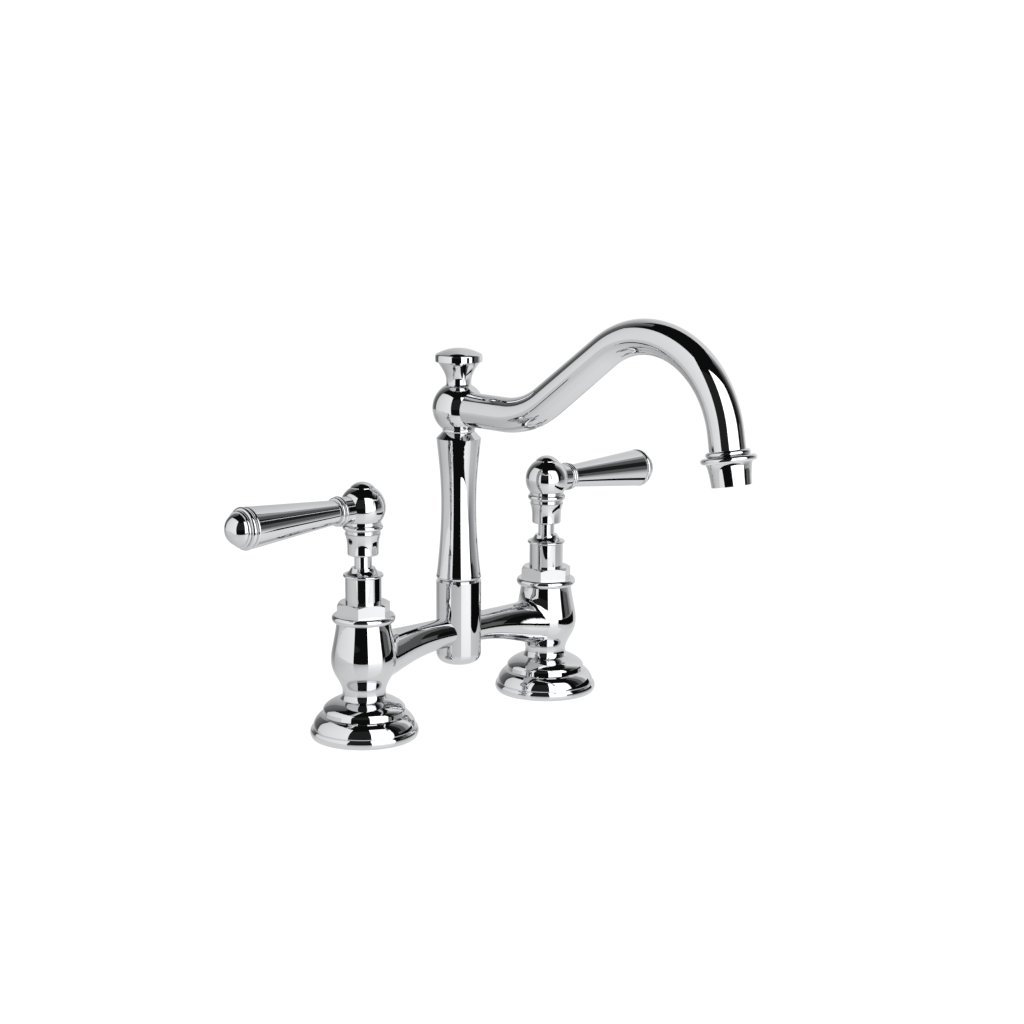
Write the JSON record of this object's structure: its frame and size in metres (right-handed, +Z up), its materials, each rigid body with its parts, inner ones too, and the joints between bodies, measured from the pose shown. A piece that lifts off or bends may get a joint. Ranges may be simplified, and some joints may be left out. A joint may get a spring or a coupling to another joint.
{
  "type": "bridge kitchen faucet",
  "caption": "Deck-mounted bridge kitchen faucet: vase pillars with quarter-turn levers, a bridge with a centre column, and a swivelling swan-neck spout with a finial.",
  "frame": {"origin": "on the worktop, midway between the two pillars", "axes": "+X along the bridge to the right pillar, -Y the way the spout reaches, +Z up from the worktop"},
  "size_m": [0.3646, 0.2763, 0.3314],
  "materials": {
    "chrome": "mirror-polished chrome plate on brass",
    "brass": "plain machined",
    "steel": "plain",
    "rubber": "matt",
    "ceramic": "lapped",
    "plastic": "satin"
  },
  "bodies": {
    "body": {"left_base_flange": "chrome", "left_flange_gasket": "rubber", "left_pillar": "chrome", "left_tail": "brass", "left_rubber_washer": "rubber", "left_steel_washer": "steel", "left_back_nut": "brass", "left_seat_seal": "rubber", "left_fixed_disc": "ceramic", "left_valve_bonnet": "chrome", "left_sleeve": "chrome", "left_gland_nut": "chrome", "right_base_flange": "chrome", "right_flange_gasket": "rubber", "right_pillar": "chrome", "right_tail": "brass", "right_rubber_washer": "rubber", "right_steel_washer": "steel", "right_back_nut": "brass", "right_seat_seal": "rubber", "right_fixed_disc": "ceramic", "right_valve_bonnet": "chrome", "right_sleeve": "chrome", "right_gland_nut": "chrome", "centre_hub": "chrome", "centre_column": "chrome", "column_oring": "rubber", "column_grub_screw": "steel", "bearing_ring": "plastic"},
    "left_lever": {"left_turning_disc": "ceramic", "left_spindle": "chrome", "left_spindle_oring": "rubber", "left_lever_hub": "chrome", "left_hub_cap": "chrome", "left_hub_grub_screw": "steel", "left_lever_grip": "chrome", "left_lever_end": "chrome"},
    "right_lever": {"right_turning_disc": "ceramic", "right_spindle": "chrome", "right_spindle_oring": "rubber", "right_lever_hub": "chrome", "right_hub_cap": "chrome", "right_hub_grub_screw": "steel", "right_lever_grip": "chrome", "right_lever_end": "chrome"},
    "spout": {"spout_ball": "chrome", "spigot_orings": "rubber", "finial": "chrome", "spout_tube": "chrome", "outlet_collar": "chrome", "aerator_washer": "rubber", "aerator": "plastic"}
  },
  "joints": [
    {"name": "left_lever_turn", "type": "hinge", "parent": "body", "child": "left_lever", "pos_m": [-0.08, 0, 0.1464], "axis": [0, 0, 1], "range_deg": [0, 90]},
    {"name": "right_lever_turn", "type": "hinge", "parent": "body", "child": "right_lever", "pos_m": [0.08, 0, 0.1464], "axis": [0, 0, 1], "range_deg": [-90, 0]},
    {"name": "spout_swivel", "type": "hinge", "parent": "body", "child": "spout", "pos_m": [0, 0, 0.2015], "axis": [0, 0, 1], "continuous": true}
  ]
}
